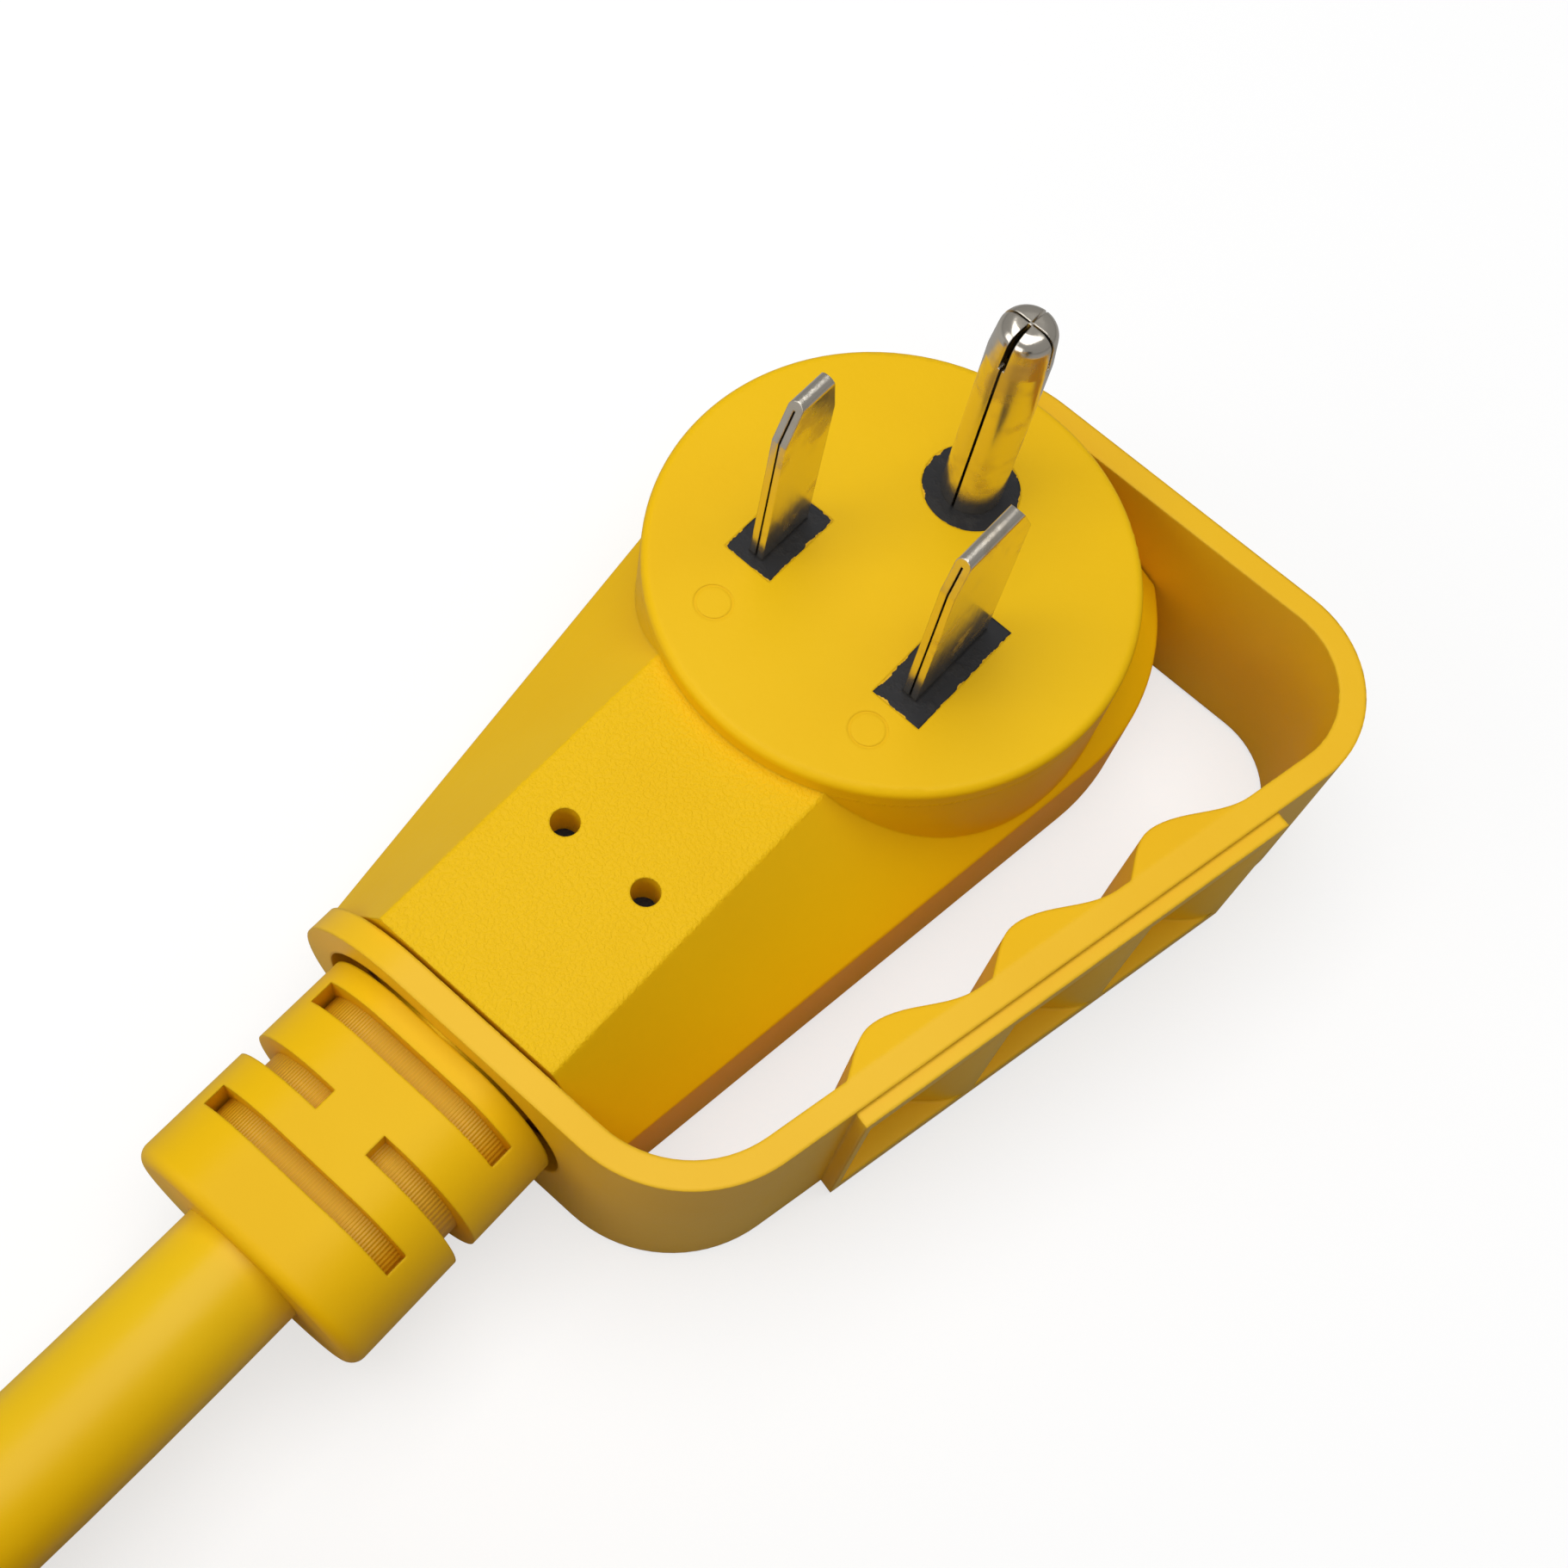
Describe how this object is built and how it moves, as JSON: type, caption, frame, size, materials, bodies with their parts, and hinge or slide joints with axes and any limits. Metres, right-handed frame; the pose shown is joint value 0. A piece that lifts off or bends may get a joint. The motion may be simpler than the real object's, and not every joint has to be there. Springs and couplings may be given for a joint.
{
  "type": "shore power cord",
  "caption": "Coiled yellow shore power cord with a flat moulded plug, a swinging strap handle with finger humps, a slotted strain relief and a locking connector.",
  "frame": {"origin": "on the ground under the middle of the plug's own box, with the plug lying on its back", "axes": "+Z along the pins and upwards; +X along the plug away from its cord; +Y away from the handle's grip"},
  "size_m": [0.3806, 0.2439, 0.122],
  "materials": {
    "plug_yellow": "satin moulded vinyl, fine pebble on the top flat",
    "handle_yellow": "satin moulded plastic",
    "cord_yellow": "smooth satin vinyl jacket",
    "case_black": "matte",
    "nickel": "bright nickel plating on brass",
    "brass": "turned",
    "steel": "stainless",
    "wire_black": "vinyl insulation",
    "wire_white": "vinyl insulation",
    "wire_green": "vinyl insulation",
    "tie_black": "woven hook-and-loop strap",
    "gasket_black": "matte",
    "ring_black": "satin"
  },
  "bodies": {
    "plug_and_cord": {"plug_body": "plug_yellow", "inner_case_top": "case_black", "inner_case_bottom": "case_black", "blade_narrow": "nickel", "blade_wide": "nickel", "ground_pin": "nickel", "conductor_line_1": "wire_black", "conductor_line_2": "wire_white", "conductor_ground": "wire_green", "strain_relief": "plug_yellow", "strain_core": "plug_yellow", "jacket_end": "cord_yellow", "pivot_insert": "brass", "pivot_screw": "steel", "pivot_washer": "steel", "cord_coil": "cord_yellow", "coil_tie": "tie_black", "cord_lead": "cord_yellow", "cord_tail": "cord_yellow", "connector_boot": "plug_yellow", "connector_body": "plug_yellow", "connector_contact_line_1": "brass", "connector_conductor_line_1": "wire_black", "connector_contact_line_2": "brass", "connector_conductor_line_2": "wire_white", "connector_contact_ground": "brass", "connector_conductor_ground": "wire_green", "connector_face": "case_black", "connector_jacket_end": "cord_yellow", "connector_gasket": "gasket_black"},
    "handle": {"handle": "handle_yellow"},
    "lock_ring": {"lock_ring": "ring_black"}
  },
  "joints": [
    {"name": "handle_swing", "type": "hinge", "parent": "plug_and_cord", "child": "handle", "pos_m": [0.0316, 0.0105, 0.0143], "axis": [1, 0, 0], "range_deg": [-45, 225]},
    {"name": "lock_ring_turn", "type": "hinge", "parent": "plug_and_cord", "child": "lock_ring", "pos_m": [-0.19103, -0.16833, 0.091], "axis": [0.985, 0.1724, 0], "continuous": true}
  ]
}
